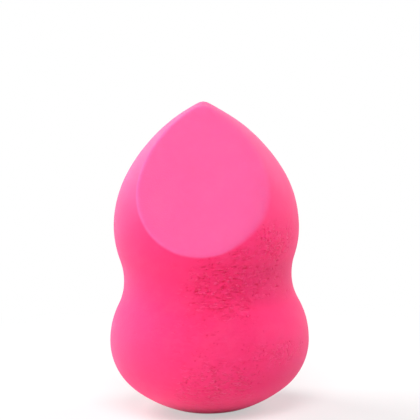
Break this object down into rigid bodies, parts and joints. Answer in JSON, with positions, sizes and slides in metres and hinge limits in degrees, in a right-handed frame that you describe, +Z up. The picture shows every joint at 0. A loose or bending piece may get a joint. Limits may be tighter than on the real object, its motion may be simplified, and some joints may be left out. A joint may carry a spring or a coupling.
{
  "type": "makeup sponge",
  "caption": "Soft pink foam makeup sponge with a gourd-shaped body, a small round tip and one slanted flat cut, for dabbing and blending make-up on skin.",
  "frame": {"origin": "centre of the small flat foot, on the surface that the sponge stands on", "axes": "+Z up along the gourd's axis from the foot to the tip; the slanted cut faces -Y, and the sponge is the same on its +X and -X sides"},
  "size_m": [0.04, 0.04, 0.062],
  "materials": {
    "foam": "matte"
  },
  "bodies": {
    "root": {"foam_body": "foam"}
  },
  "joints": []
}
